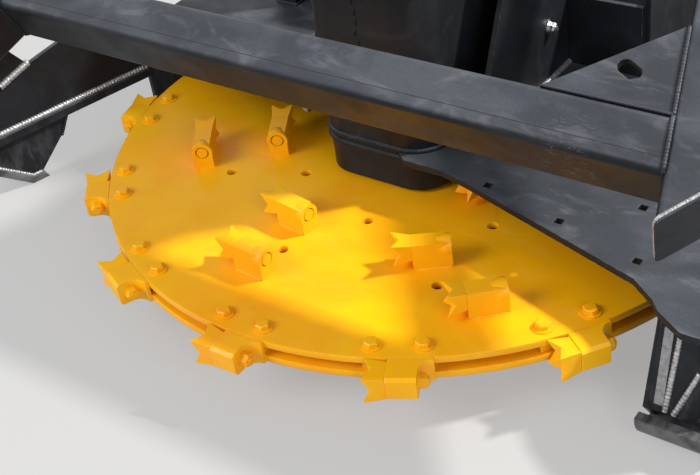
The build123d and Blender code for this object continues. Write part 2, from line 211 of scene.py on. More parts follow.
def on_wing(along, height, out=0):
    """A point of the flared wing: along it from the wall, its height, and outwards."""
    x = -WALL_IN - along * sin(WING_TURN) - out * cos(WING_TURN)
    y = WING_Y - along * cos(WING_TURN) + out * sin(WING_TURN)
    return at(x, y, height)


def on_leg(x, height):
    """A point on the sloping front of a leg on the right, at x from the rotor axis."""
    share = (height - LEG_LOW_Z) / (LEG_HIGH_Z - LEG_LOW_Z)
    return at(x, LEG_LOW_Y + share * (LEG_HIGH_Y - LEG_LOW_Y), height)


def on_ring(degrees, radius, height):
    """A point round the rotor axis."""
    turn = radians(degrees)
    return at(radius * cos(turn), radius * sin(turn), height)


def clockwise(degrees):
    """The way that the rotor's teeth face at an angle round its axis."""
    turn = radians(degrees)
    return Vector((sin(turn), -cos(turn), 0))


def line(*points):
    """An open path."""
    return list(points), False


def wing_line(places):
    """An open path on the wing."""
    return line(*[on_wing(*place) for place in places])


def rounded_loop(corners, radius, steps=4):
    """A closed path through the corners, each turned into an arc of the given radius in metres."""
    path = []
    weight = sqrt(0.5)
    for index, corner in enumerate(corners):
        before = corner + (corners[index - 1] - corner).normalized() * radius
        after = corner + (corners[(index + 1) % len(corners)] - corner).normalized() * radius
        for step in range(steps + 1):
            t = step / steps
            a = (1 - t) ** 2
            b = 2 * weight * t * (1 - t)
            c = t ** 2
            path.append((before * a + corner * b + after * c) / (a + b + c))
    return path, True


def lengthways(x, start, end, height):
    """A path from front to rear."""
    return line(at(x, start, height), at(x, end, height))


def sideways(start, end, y, height):
    """A path from side to side."""
    return line(at(start, y, height), at(end, y, height))


def upright(x, y, low, high):
    """A path from below to above."""
    return line(at(x, y, low), at(x, y, high))


def around(low, high, first, last):
    """The corners of a rectangle, in order round it."""
    return (low, first), (high, first), (high, last), (low, last)


def corners_at(left, right, front, rear, height):
    """The corners of a level rectangle."""
    return [at(x, y, height) for x, y in around(left, right, front, rear)]


def tower_ring(height):
    """The path round the tower at a height."""
    corners = corners_at(TOWER_LEFT, TOWER_RIGHT, TOWER_FRONT, TOWER_REAR, height)
    return rounded_loop(corners, TOWER_ROUND * MM, 8)


def middle(points):
    """The middle of the points' box."""
    low = Vector(map(min, zip(*points)))
    high = Vector(map(max, zip(*points)))
    return (low + high) / 2


def solids_of(node):
    """The corner points of each separate solid in a node."""
    work = bmesh.new()
    work.from_mesh(NODES[node].data)
    bmesh.ops.remove_doubles(work, verts=work.verts, dist=MERGE)
    left = set(work.verts)
    solids = []
    while left:
        stack = [left.pop()]
        points = []
        while stack:
            vert = stack.pop()
            points.append(vert.co.copy())
            for edge in vert.link_edges:
                other = edge.other_vert(vert)
                if other in left:
                    left.remove(other)
                    stack.append(other)
        solids.append(points)
    work.free()
    return sorted(solids, key=lambda points: tuple(round(value, 4) for value in middle(points)))


def surface_holders():
    """For each surface holder: the middle of its rear and front ends on the disc, and its heading."""
    teeth = [middle(points) for points in solids_of("top_teeth")]
    faces = [(face.center.copy(), face.normal * face.area) for face in NODES["top_holders"].data.polygons]
    rows = []
    for points in solids_of("top_holders"):
        centre = middle(points)
        tooth = min(teeth, key=lambda place: (place - centre).length)
        rough = Vector((tooth.x - centre.x, tooth.y - centre.y, 0)).normalized()
        facing = Vector((0, 0, 0))
        for place, normal in faces:
            if (place - centre).length < HOLDER_REACH * MM and normal.dot(rough) < -0.95 * normal.length:
                facing -= normal
        way = facing.normalized()
        side = way.cross(UP)
        reach = [point.dot(way) for point in points]
        across = [point.dot(side) for point in points]
        on_line = side * (min(across) + max(across)) / 2 + UP * DISC_TOP * MM
        rows.append((on_line + way * min(reach), on_line + way * max(reach), way))
    return rows


def length_prop(name, description, default):
    return bpy.props.FloatProperty(name=name, description=description, default=default, unit="LENGTH")


def angle_prop(name, description, degrees):
    return bpy.props.FloatProperty(
        name=name, description=description, default=radians(degrees), subtype="ANGLE", unit="ROTATION")


class MulcherSizes(PropertyGroup):
    rim_bolt: length_prop("Rim bolt", "Across flats of the holder bolts", 0.0245)
    tooth_bolt: length_prop("Tooth bolt", "Across flats of the bolts behind the rim teeth", 0.024)
    screw_radius: length_prop("Holder screw", "Radius of the ring round a holder's screw", 0.0144)
    bead: length_prop("Weld bead", "Radius of the structural weld beads", 0.0045)
    bead_pitch: length_prop("Ripple pitch", "Distance between the ripples of a bead", 0.0065)
    soft_edge: length_prop("Soft edge", "Width of the broken edges of plates and castings", 0.0014)


class MulcherColours(PropertyGroup):
    rotor: bpy.props.FloatVectorProperty(
        name="Rotor", description="Paint of the disc and its teeth", default=(1.0, 0.505, 0.003),
        subtype="COLOR")
    frame: bpy.props.FloatVectorProperty(
        name="Frame", description="Paint of the deck and the push frame", default=(0.0105, 0.0112, 0.0130),
        subtype="COLOR")
    floor: bpy.props.FloatVectorProperty(
        name="Floor", description="Colour of the stage floor", default=(0.44, 0.44, 0.436), subtype="COLOR")


class MulcherStage(PropertyGroup):
    eye: bpy.props.FloatVectorProperty(
        name="Eye", description="Camera place from the rotor axis and the ground",
        default=(1.2932, -1.8300, 1.5692), subtype="TRANSLATION", unit="LENGTH")
    look: angle_prop("Look", "Heading of the camera, from +X towards +Y", 130.5)
    dip: angle_prop("Dip", "How far the camera looks down", 36.81)
    roll: angle_prop("Roll", "Turn of the picture about the line of sight", -8.88)
    lens: bpy.props.FloatProperty(
        name="Lens", description="Focal length on a 36 mm sensor", default=62.43, min=10.0)


# Node building


def rgba(colour):
    """A colour with full alpha; a socket stays as it is."""
    return colour if isinstance(colour, NodeSocket) else (*colour, 1.0)


def feed(tree, node, values):
    """Sets a node's inputs, each to a value or linked from a socket."""
    for key, value in values.items():
        if isinstance(value, NodeSocket):
            tree.links.new(value, node.inputs[key])
        else:
            node.inputs[key].default_value = value


def put(tree, kind, values=None, output=0, **settings):
    """One output of a new node with its settings and its inputs."""
    node = tree.nodes.new(kind)
    for key, value in settings.items():
        setattr(node, key, value)
    feed(tree, node, values or {})
    return node.outputs[output]


def maths(operation):
    """A function that adds a Math node to a tree."""
    def make(tree, a, b=0.0, clamp=False):
        return put(tree, "ShaderNodeMath", {0: a, 1: b}, operation=operation, use_clamp=clamp)
    return make


times = maths("MULTIPLY")
plus = maths("ADD")
minus = maths("SUBTRACT")
larger = maths("MAXIMUM")
positive = maths("ABSOLUTE")
divided = maths("DIVIDE")
remainder = maths("MODULO")


def ramp(tree, value, low, high, to_low=0.0, to_high=1.0):
    """The value's stretch from low to high, spread smoothly over the new range."""
    values = {"Value": value, "From Min": low, "From Max": high, "To Min": to_low, "To Max": to_high}
    return put(tree, "ShaderNodeMapRange", values, interpolation_type="SMOOTHSTEP")


def mix_colour(tree, mask, under, over):
    """The colour under with the colour over laid on it where the mask is one."""
    values = {"Factor": mask, 6: rgba(under), 7: rgba(over)}
    return put(tree, "ShaderNodeMix", values, 2, data_type="RGBA")


def lay(tree, colour, *layers):
    """The colour with each layer's colour laid on it by the layer's mask."""
    for mask, over in layers:
        colour = mix_colour(tree, mask, colour, over)
    return colour


def object_point(tree):
    return put(tree, "ShaderNodeTexCoord", output="Object")


def stretched(tree, scale=(1, 1, 1), turn=(0, 0, 0)):
    """Object coordinates, stretched and turned."""
    values = {"Vector": object_point(tree), "Scale": scale, "Rotation": turn}
    return put(tree, "ShaderNodeMapping", values)


def noise(tree, scale, detail=4.0, roughness=0.55, distortion=0.0, place=None):
    """Noise from zero to one, on object coordinates where no other place is given."""
    values = {"Vector": stretched(tree) if place is None else place, "Scale": scale, "Detail": detail,
              "Roughness": roughness, "Distortion": distortion}
    return put(tree, "ShaderNodeTexNoise", values)


def face_normal(tree):
    return put(tree, "ShaderNodeNewGeometry", output="Normal")


def z_of(tree, vector):
    return put(tree, "ShaderNodeSeparateXYZ", {"Vector": vector}, "Z")


def bump(tree, height, strength, distance):
    return put(tree, "ShaderNodeBump", {"Height": height, "Strength": strength, "Distance": distance})


MAKERS = {}


def maker(function):
    """Lists a function under its own name, which is also that of the finish or node group that it makes."""
    MAKERS[function.__name__] = function
    return function


def made(kept, name):
    """The material or node group of that name, made the first time it is asked for."""
    if name not in kept:
        MAKERS[name](name)
    return kept[name]


def finish(name):
    return made(bpy.data.materials, name)


# Shared wear and texture


def new_tree(name, kind, inputs, result):
    """A node tree with named sockets: the tree, the values given to it, and the socket that ends it."""
    tree = bpy.data.node_groups.new(name, kind)
    for label, form, value in inputs:
        socket = tree.interface.new_socket(label, in_out="INPUT", socket_type=form)
        if value is not None:
            socket.default_value = value
    tree.interface.new_socket(result[0], in_out="OUTPUT", socket_type=result[1])
    return tree, tree.nodes.new("NodeGroupInput").outputs, tree.nodes.new("NodeGroupOutput").inputs[0]


def shader_group(name, result, **inputs):
    """A shader group of numbers."""
    rows = [(label, "NodeSocketFloat", value) for label, value in inputs.items()]
    return new_tree(name, "ShaderNodeTree", rows, (result, "NodeSocketFloat"))


def end_mask(tree, mask, a, b, amount):
    """Ends a mask's group with the product of two values and the amount."""
    tree.links.new(times(tree, times(tree, a, b), amount, True), mask)


def group(tree, name, **values):
    """The result of a shader group with its own values."""
    return put(tree, "ShaderNodeGroup", values, node_tree=made(bpy.data.node_groups, name))


@maker
def broken_edges(name):
    """Mask of edges where paint is thin, broken up by noise."""
    tree, given, mask = shader_group(name, "Mask", Width=0.003, Breakup=60.0, Amount=0.5)
    rounded = put(tree, "ShaderNodeBevel", {"Radius": given["Width"]}, samples=4)
    both = {0: rounded, 1: face_normal(tree)}
    turn = put(tree, "ShaderNodeVectorMath", both, "Value", operation="DOT_PRODUCT")
    bend = ramp(tree, minus(tree, 1.0, turn), 0.015, 0.12)
    broken = ramp(tree, noise(tree, given["Breakup"], 6.0, 0.65), 0.52, 0.62)
    end_mask(tree, mask, bend, broken, given["Amount"])


@maker
def fine_scratches(name):
    """Mask of fine scratches in two directions."""
    tree, given, mask = shader_group(name, "Mask", Scale=6.0, Amount=0.5)
    lines = []
    for turn, stretch in ((0.5, 34.0), (-1.1, 46.0)):
        place = stretched(tree, (1.6, stretch, 11.0), (0.1, 0.2, turn))
        wave = noise(tree, given["Scale"], 2.0, 0.5, 0.15, place)
        lines.append(ramp(tree, positive(tree, minus(tree, wave, 0.5)), 0.0, 0.0045, 1.0, 0.0))
    patches = ramp(tree, noise(tree, 5.5, 2.0), 0.60, 0.72)
    end_mask(tree, mask, larger(tree, *lines), patches, given["Amount"])


@maker
def rubbed_smears(name):
    """Mask of rubbed and dusty patches, stronger on faces that look up."""
    tree, given, mask = shader_group(name, "Mask", Scale=7.0, Amount=0.5, Side=0.25)
    place = stretched(tree, (1.0, 2.2, 1.4), (0.0, 0.0, 0.7))
    clouds = ramp(tree, noise(tree, given["Scale"], 7.0, 0.62, 1.2, place), 0.50, 0.72)
    facing = larger(tree, ramp(tree, z_of(tree, face_normal(tree)), 0.2, 0.9), given["Side"])
    end_mask(tree, mask, clouds, facing, given["Amount"])


@maker
def settled_dust(name):
    """Mask of fine dust settled on faces that look up, which also paints a sheen of the sky there, thinner where
    it was wiped.
    """
    tree, given, mask = shader_group(name, "Mask", Scale=5.0, Amount=0.6, Wiped=0.45)
    facing = ramp(tree, z_of(tree, face_normal(tree)), 0.55, 0.90)
    place = stretched(tree, (1.0, 1.7, 1.2), (0.0, 0.0, -0.4))
    film = ramp(tree, noise(tree, given["Scale"], 5.0, 0.55, 0.8, place), 0.36, 0.66, given["Wiped"])
    fine = ramp(tree, noise(tree, 190.0, 3.0, 0.6), 0.25, 0.75, 0.82, 1.0)
    end_mask(tree, mask, times(tree, facing, film), fine, given["Amount"])


@maker
def paint_skin(name):
    """Height of sprayed paint: orange peel and a slow waviness."""
    tree, given, height = shader_group(name, "Height", Grain=420.0)
    peel = noise(tree, given["Grain"], 2.0, 0.5)
    slow = noise(tree, 22.0, 2.0, 0.5)
    tree.links.new(plus(tree, peel, times(tree, slow, 2.0)), height)


# Finishes

RUBBED_YELLOW = (0.90, 0.52, 0.06)
SCRATCHED_YELLOW = (0.40, 0.17, 0.02)
CHIPPED_YELLOW = (0.46, 0.21, 0.03)
# Bluish film on faces that look up: settled dust and a painted sky sheen
DUST_AND_SHEEN_BLACK = (0.112, 0.125, 0.147)
SMEARED_BLACK = (0.185, 0.195, 0.215)
SCRATCHED_BLACK = (0.27, 0.27, 0.28)
SCUFFED_BLACK = (0.165, 0.165, 0.170)
CHIPPED_BLACK = (0.20, 0.195, 0.19)
BARE_SOLE = (0.150, 0.152, 0.160)
DUSTY_SOLE = (0.15, 0.14, 0.125)
CASTING = (0.024, 0.026, 0.030)
PALE_CASTING = (0.045, 0.046, 0.050)
CHIPPED_CASTING = (0.16, 0.15, 0.14)
# Painted shade for gaps and grooves: near black, mottled with a slightly lighter brown
GAP_SHADE_DARK = (0.010, 0.008, 0.006)
GAP_SHADE_MOTTLE = (0.030, 0.022, 0.013)


def new_material(name):
    """A material's tree and its main shader."""
    material = bpy.data.materials.new(name)
    material.use_nodes = True
    return material.node_tree, material.node_tree.nodes["Principled BSDF"]


@maker
def rotor_yellow(name):
    """Thick machinery yellow with orange clouds, rubbed patches, scratches and chipped edges."""
    tree, bsdf = new_material(name)
    main = bpy.context.scene.mulcher_colours.rotor
    deep = (main[0] * 0.97, main[1] * 0.80, main[2])
    colour = mix_colour(tree, ramp(tree, noise(tree, 4.5, 5.0, 0.6, 0.5), 0.35, 0.70), main, deep)
    smear = group(tree, "rubbed_smears", Scale=9.0, Amount=0.16, Side=0.3)
    scratch = group(tree, "fine_scratches", Scale=7.0, Amount=0.6)
    edge = group(tree, "broken_edges", Width=0.0020, Breakup=85.0, Amount=0.55)
    shine = ramp(tree, noise(tree, 14.0, 5.0), 0.3, 0.7, 0.30, 0.46)
    height = minus(tree, group(tree, "paint_skin", Grain=380.0), times(tree, scratch, 1.5))
    feed(tree, bsdf, {
        "Base Color": lay(tree, colour, (smear, RUBBED_YELLOW), (scratch, SCRATCHED_YELLOW),
                          (edge, CHIPPED_YELLOW)),
        "Roughness": plus(tree, shine, times(tree, smear, 0.6), True),
        "Specular IOR Level": 0.32,
        "Normal": bump(tree, height, 0.10, 0.0006)})


@maker
def frame_black(name):
    """Satin black paint with settled dust and a painted sky sheen on top faces, grey smears, low scuffs, light
    scratches and worn edges.
    """
    tree, bsdf = new_material(name)
    main = bpy.context.scene.mulcher_colours.frame
    blue = (main[0] * 1.6, main[1] * 1.7, main[2] * 1.9)
    colour = mix_colour(tree, ramp(tree, noise(tree, 6.0, 5.0, 0.6, 0.8), 0.35, 0.72), main, blue)
    # Bluish film on faces that look up: settled dust, and a painted sheen of the sky
    dust = group(tree, "settled_dust", Scale=4.0, Amount=0.62, Wiped=0.5)
    smear = group(tree, "rubbed_smears", Scale=8.0, Amount=0.34, Side=0.12)
    scratch = group(tree, "fine_scratches", Scale=8.0, Amount=0.65)
    low = ramp(tree, z_of(tree, object_point(tree)), 0.03, 0.20, 0.24, 0.0)
    streaks = ramp(tree, noise(tree, 45.0, 6.0, 0.62, 0.3, stretched(tree, (1.0, 1.0, 0.30))), 0.42, 0.66)
    scuff = times(tree, low, streaks, True)
    edge = group(tree, "broken_edges", Width=0.0025, Breakup=70.0, Amount=0.6)
    shine = ramp(tree, noise(tree, 12.0, 6.0, 0.6), 0.3, 0.7, 0.36, 0.52)
    height = minus(tree, group(tree, "paint_skin", Grain=300.0), times(tree, scratch, 1.2))
    feed(tree, bsdf, {
        "Base Color": lay(tree, colour, (dust, DUST_AND_SHEEN_BLACK), (smear, SMEARED_BLACK),
                          (scratch, SCRATCHED_BLACK), (scuff, SCUFFED_BLACK), (edge, CHIPPED_BLACK)),
        "Roughness": plus(tree, shine, times(tree, smear, 0.45), True),
        "Specular IOR Level": 0.16,
        "Normal": bump(tree, height, 0.12, 0.0007)})


@maker
def scuffed_sole(name):
    """Black paint worn to grey steel low down and along the edges."""
    tree, bsdf = new_material(name)
    low = ramp(tree, z_of(tree, object_point(tree)), 0.02, 0.12, 1.0, 0.0)
    grain = noise(tree, 30.0, 7.0, 0.65, 0.4, stretched(tree, (1.0, 0.25, 1.0)))
    worn = ramp(tree, plus(tree, grain, times(tree, low, 0.34)), 0.55, 0.95)
    bare = larger(tree, worn, group(tree, "broken_edges", Width=0.005, Breakup=45.0, Amount=1.0))
    dust = group(tree, "rubbed_smears", Scale=6.0, Amount=0.4, Side=0.5)
    paint = bpy.context.scene.mulcher_colours.frame
    feed(tree, bsdf, {
        "Base Color": lay(tree, paint, (bare, BARE_SOLE), (dust, DUSTY_SOLE)),
        "Metallic": times(tree, bare, 0.25),
        "Roughness": ramp(tree, grain, 0.3, 0.7, 0.38, 0.62),
        "Normal": bump(tree, plus(tree, grain, bare), 0.25, 0.0008)})


@maker
def cast_black(name):
    """Rough casting under black paint."""
    tree, bsdf = new_material(name)
    sand = noise(tree, 260.0, 5.0, 0.6)
    colour = mix_colour(tree, ramp(tree, noise(tree, 18.0, 4.0), 0.35, 0.7), CASTING, PALE_CASTING)
    edge = group(tree, "broken_edges", Width=0.002, Breakup=90.0, Amount=0.6)
    feed(tree, bsdf, {
        "Base Color": mix_colour(tree, edge, colour, CHIPPED_CASTING),
        "Roughness": ramp(tree, sand, 0.3, 0.7, 0.42, 0.62),
        "Normal": bump(tree, sand, 0.35, 0.0008)})


@maker
def recess_dark(name):
    """Painted shade for the gap round a sunk screw head and the bar's seam, mottled with a slightly lighter brown.
    """
    tree, bsdf = new_material(name)
    grain = noise(tree, 300.0, 3.0)
    feed(tree, bsdf, {
        "Base Color": mix_colour(tree, grain, GAP_SHADE_DARK, GAP_SHADE_MOTTLE),
        "Roughness": ramp(tree, grain, 0.3, 0.7, 0.6, 0.9)})


# Bare metals: clean and dull colour, lowest and highest roughness, scale of the mottling, and metallic share
METALS = {
    "turned_steel": ((0.60, 0.60, 0.58), (0.38, 0.37, 0.35), 0.25, 0.42, 90.0, 1.0),
    "bare_weld": ((0.52, 0.52, 0.53), (0.24, 0.24, 0.25), 0.34, 0.52, 150.0, 0.75),
    "ground_steel": ((0.32, 0.32, 0.33), (0.20, 0.20, 0.21), 0.38, 0.55, 110.0, 0.6),
    "zinc": ((0.78, 0.80, 0.84), (0.55, 0.57, 0.62), 0.20, 0.38, 120.0, 1.0),
}


def metal(name):
    """Bare metal with a mottled dull film."""
    clean, dull, low_rough, high_rough, scale, metallic = METALS[name]
    tree, bsdf = new_material(name)
    grain = noise(tree, scale, 5.0, 0.6)
    feed(tree, bsdf, {
        "Base Color": mix_colour(tree, ramp(tree, grain, 0.35, 0.7), clean, dull),
        "Roughness": ramp(tree, grain, 0.3, 0.7, low_rough, high_rough),
        "Metallic": metallic,
        "Normal": bump(tree, grain, 0.15, 0.0004)})


MAKERS.update(dict.fromkeys(METALS, metal))
SLOT_FINISH = {
    "rotor_paint": "rotor_yellow",
    "frame_paint": "frame_black",
    "worn_sole": "scuffed_sole",
    "motor_casting": "cast_black",
    "bright_steel": "turned_steel",
}


# Pieces on points and along paths


def piece_tree(name, sizes):
    """A tree that makes a piece, with its sizes, a seed and a finish."""
    rows = [("Geometry", "NodeSocketGeometry", None)]
    rows += [(label, "NodeSocketFloat", value) for label, value in sizes.items()]
    rows += [("Seed", "NodeSocketInt", 1), ("Finish", "NodeSocketMaterial", None)]
    return new_tree(name, "GeometryNodeTree", rows, ("Geometry", "NodeSocketGeometry"))


def drum(tree, sides, radius, depth, height, top_radius=None):
    """A drum, or a cone where a top radius is given, lifted along Z."""
    values = {"Vertices": sides, "Depth": depth}
    if top_radius is None:
        mesh = put(tree, "GeometryNodeMeshCylinder", {**values, "Radius": radius})
    else:
        values.update({"Radius Bottom": radius, "Radius Top": top_radius})
        mesh = put(tree, "GeometryNodeMeshCone", values)
    offset = put(tree, "ShaderNodeCombineXYZ", {"Z": height})
    return put(tree, "GeometryNodeTransform", {"Geometry": mesh, "Translation": offset})


def chance(tree, given, low, high):
    """A number between low and high by the given seed, different on every point."""
    values = {"Seed": given["Seed"], 2: low, 3: high}
    return put(tree, "FunctionNodeRandomValue", values, 1, data_type="FLOAT")


def close_tree(tree, geometry, given, end):
    """Ends a tree with real geometry and its material."""
    real = put(tree, "GeometryNodeRealizeInstances", {"Geometry": geometry})
    tree.links.new(put(tree, "GeometryNodeSetMaterial", {"Geometry": real, "Material": given["Finish"]}), end)


def stand_on_points(tree, shapes, given, end):
    """Ends a tree with the shapes on every point, standing along its facing and turned by chance about it."""
    joined = tree.nodes.new("GeometryNodeJoinGeometry")
    for shape in shapes:
        tree.links.new(shape, joined.inputs["Geometry"])
    facing = put(tree, "GeometryNodeInputNamedAttribute", {"Name": "facing"}, data_type="FLOAT_VECTOR")
    upwards = put(tree, "FunctionNodeAlignRotationToVector", {"Vector": facing}, axis="Z")
    turn = chance(tree, given, 0.0, radians(60))
    spin = put(tree, "FunctionNodeAxisAngleToRotation", {"Axis": (0, 0, 1), "Angle": turn})
    both = {"Rotation": upwards, "Rotate By": spin}
    turned = put(tree, "FunctionNodeRotateRotation", both, rotation_space="LOCAL")
    points = put(tree, "GeometryNodeMeshToPoints", {"Mesh": given["Geometry"]})
    close_tree(tree, put(tree, "GeometryNodeInstanceOnPoints", {
        "Points": points, "Instance": joined.outputs["Geometry"], "Rotation": turned}), given, end)


@maker
def hex_bolt(name):
    """A chamfered hexagon head on a washer, with a stud end, on every point."""
    tree, given, end = piece_tree(name, {
        "Across Flats": 0.024, "Head": 0.012, "Washer Radius": 0.020, "Washer": 0.003, "Stud": 0.001})
    flats, head, thickness = given["Across Flats"], given["Head"], given["Washer"]
    radius = times(tree, flats, 1 / sqrt(3))
    body = times(tree, head, 0.78)
    chamfer = times(tree, head, 0.22)
    washer = drum(tree, 28, given["Washer Radius"], thickness, times(tree, thickness, 0.5))
    prism = drum(tree, 6, radius, body, plus(tree, thickness, times(tree, body, 0.5)))
    top = drum(tree, 6, radius, chamfer, plus(tree, thickness, body), times(tree, radius, 0.82))
    length = plus(tree, plus(tree, thickness, head), given["Stud"])
    stud = drum(tree, 20, times(tree, flats, 0.31), length, times(tree, length, 0.5))
    stand_on_points(tree, (stud, top, prism, washer), given, end)


@maker
def round_cap(name):
    """A low round cap with a chamfered rim on every point."""
    tree, given, end = piece_tree(name, {"Radius": 0.010, "Height": 0.001, "Chamfer": 0.0006})
    radius, height, chamfer = given["Radius"], given["Height"], given["Chamfer"]
    low = drum(tree, 28, radius, height, 0.0)
    top = drum(tree, 28, radius, chamfer, times(tree, height, 0.5), minus(tree, radius, chamfer))
    stand_on_points(tree, (top, low), given, end)


@maker
def weld_bead(name):
    """A rippled bead along every path."""
    tree, given, end = piece_tree(name, {"Radius": 0.0045, "Pitch": 0.0065})
    curve = put(tree, "GeometryNodeMeshToCurve", {"Mesh": given["Geometry"]})
    step = divided(tree, given["Pitch"], 3.0)
    even = put(tree, "GeometryNodeResampleCurve", {"Curve": curve, "Length": step}, mode="LENGTH")
    saw = remainder(tree, put(tree, "GeometryNodeInputIndex"), 3.0)
    ripple = minus(tree, 1.10, times(tree, saw, 0.11))
    scale = times(tree, ripple, chance(tree, given, 0.92, 1.06))
    section = put(tree, "GeometryNodeCurvePrimitiveCircle", {"Resolution": 8, "Radius": given["Radius"]})
    tube = put(tree, "GeometryNodeCurveToMesh", {
        "Curve": even, "Profile Curve": section, "Scale": scale, "Fill Caps": True})
    close_tree(tree, put(tree, "GeometryNodeSetShadeSmooth", {"Geometry": tube}), given, end)


def linked(name, data):
    """A new object in the scene."""
    thing = bpy.data.objects.new(name, data)
    bpy.context.scene.collection.objects.link(thing)
    return thing


def add_piece(name, mesh, look):
    """A finished piece on its body."""
    body, slot, _ = look
    piece = linked(name, mesh)
    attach(piece, body)


def grow(name, source, tree_name, look, **values):
    """Runs a tree over the source mesh and keeps the result as one plain piece."""
    tree = made(bpy.data.node_groups, tree_name)
    holder = linked(name + "_source", source)
    modifier = holder.modifiers.new(tree.name, "NODES")
    modifier.node_group = tree
    wanted = {**values, "finish": finish(look[2])}
    for item in tree.interface.items_tree:
        key = item.name.lower().replace(" ", "_")
        if item.item_type == "SOCKET" and item.in_out == "INPUT" and key in wanted:
            modifier[item.identifier] = wanted.pop(key)
    if wanted:
        raise RuntimeError(f"{tree_name} has no input {sorted(wanted)}")
    bpy.context.view_layer.update()
    mesh = bpy.data.meshes.new_from_object(holder.evaluated_get(bpy.context.evaluated_depsgraph_get()))
    bpy.data.objects.remove(holder)
    if not mesh.polygons:
        raise RuntimeError(f"{name} came out empty")
    mesh.name = name
    add_piece(name, mesh, look)


def on_points(name, places, tree_name, look, **values):
    """A tree's shape on each place, which is a point and the direction that it faces."""
    mesh = bpy.data.meshes.new(name)
    mesh.from_pydata([place for place, _ in places], [], [])
    facing = mesh.attributes.new("facing", "FLOAT_VECTOR", "POINT")
    for index, (_, way) in enumerate(places):
        facing.data[index].vector = way
    grow(name, mesh, tree_name, look, **values)


def beads(name, paths, look, seed, radius=None, pitch=None):
    """Weld beads along the paths; a path is its points and whether it closes."""
    verts = []
    edges = []
    for points, closed in paths:
        first = len(verts)
        verts.extend(points)
        edges.extend((first + step, first + step + 1) for step in range(len(points) - 1))
        if closed:
            edges.append((len(verts) - 1, first))
    mesh = bpy.data.meshes.new(name)
    mesh.from_pydata(verts, edges, [])
    sizes = bpy.context.scene.mulcher_sizes
    grow(name, mesh, "weld_bead", look, seed=seed, radius=radius or sizes.bead,
         pitch=pitch or sizes.bead_pitch)


# Operators, in the order in which they run

STEPS = []


def listed(operator):
    """Lists an operator as the next step."""
    STEPS.append(operator)
    return operator


# Stage: lamps with their place and aim in metres, their size, power and colour
LAMPS = {
    "stage_key": ((4.48, 3.8, 6.12), (0, -0.2, 0.2), 0.7, 1000.0, (1.0, 0.97, 0.92)),
    "stage_front": ((-4.0, -6.0, 5.2), (0, -0.2, 0.2), 4.6, 390.0, (1.0, 1.0, 1.0)),
    "stage_side": ((5.4, -3.1, 3.3), (0, -0.2, 0.3), 3.6, 115.0, (0.95, 0.97, 1.0)),
}
WORLD_LIGHT = (0.96, 0.97, 1.0)
WORLD_STRENGTH = 0.44

# Background tone, its share in the floor near the middle, where the floor starts to fade into it and where it
# is all background, in metres from the middle, and half the floor's width
BACKGROUND = (0.78, 0.78, 0.775)
FLOOR_LIFT = 0.45
FLOOR_NEAR = 2.4
FLOOR_FAR = 6.0
FLOOR_HALF = 14.0


def lamp(name, place, aim, size, power, colour):
    """A round lamp turned towards its aim."""
    data = bpy.data.lights.new(name, "AREA")
    data.shape = "DISK"
    data.size = size
    data.energy = power
    data.color = colour
    light = linked(name, data)
    light.location = place
    light.rotation_euler = (Vector(aim) - Vector(place)).to_track_quat("-Z", "Y").to_euler()


def stage_camera(settings):
    """The camera at its eye point, turned by its heading, dip and roll."""
    data = bpy.data.cameras.new("stage_camera")
    data.sensor_fit = "HORIZONTAL"
    data.sensor_width = 36.0
    data.lens = settings.lens
    data.clip_start = 0.05
    data.clip_end = 60.0
    camera = linked("stage_camera", data)
    level = cos(settings.dip)
    ahead = Vector((cos(settings.look) * level, sin(settings.look) * level, -sin(settings.dip)))
    right = ahead.cross(UP).normalized()
    up = right.cross(ahead)
    turned_right = cos(settings.roll) * right + sin(settings.roll) * up
    turned_up = -sin(settings.roll) * right + cos(settings.roll) * up
    turn = Matrix((turned_right, turned_up, -ahead)).transposed().to_4x4()
    place = Vector(settings.eye) + Vector((AXIS.x, AXIS.y, 0))
    camera.matrix_world = Matrix.Translation(place) @ turn
    bpy.context.scene.camera = camera


def mix_shaders(tree, share, lit, pale, end):
    """Ends a tree with the lit shader, and the pale one by its share."""
    mixed = put(tree, "ShaderNodeMixShader", {"Fac": share, 1: lit, 2: pale})
    tree.links.new(mixed, tree.nodes[end].inputs["Surface"])


def background_rays(tree):
    """One for the rays that show the background: those of the camera, of gloss and of glass."""
    path = tree.nodes.new("ShaderNodeLightPath").outputs
    shiny = larger(tree, path["Is Glossy Ray"], path["Is Transmission Ray"])
    return larger(tree, shiny, path["Is Camera Ray"])


def stage_floor(colour):
    """A pale floor that keeps the shadow and fades into the background."""
    mesh = bpy.data.meshes.new("stage_floor")
    work = bmesh.new()
    bmesh.ops.create_grid(work, x_segments=1, y_segments=1, size=FLOOR_HALF)
    work.to_mesh(mesh)
    work.free()
    floor = linked("stage_floor", mesh)
    tree, bsdf = new_material("stage_floor")
    feed(tree, bsdf, {"Base Color": rgba(colour), "Roughness": 0.9})
    reach = put(tree, "ShaderNodeVectorMath", {0: object_point(tree)}, "Value", operation="LENGTH")
    share = times(tree, ramp(tree, reach, FLOOR_NEAR, FLOOR_FAR, FLOOR_LIFT), background_rays(tree))
    glow = put(tree, "ShaderNodeEmission", {"Color": rgba(BACKGROUND), "Strength": 1.0})
    mix_shaders(tree, share, bsdf.outputs["BSDF"], glow, "Material Output")
    mesh.materials.append(bpy.data.materials["stage_floor"])


def stage_world():
    """Soft even light all round, and a pale background where a ray sees it."""
    world = bpy.data.worlds.new("stage_world")
    world.use_nodes = True
    tree = world.node_tree
    light = tree.nodes["Background"]
    feed(tree, light, {"Color": rgba(WORLD_LIGHT), "Strength": WORLD_STRENGTH})
    pale = put(tree, "ShaderNodeBackground", {"Color": rgba(BACKGROUND), "Strength": 1.0})
    mix_shaders(tree, background_rays(tree), light.outputs["Background"], pale, "World Output")
    bpy.context.scene.world = world


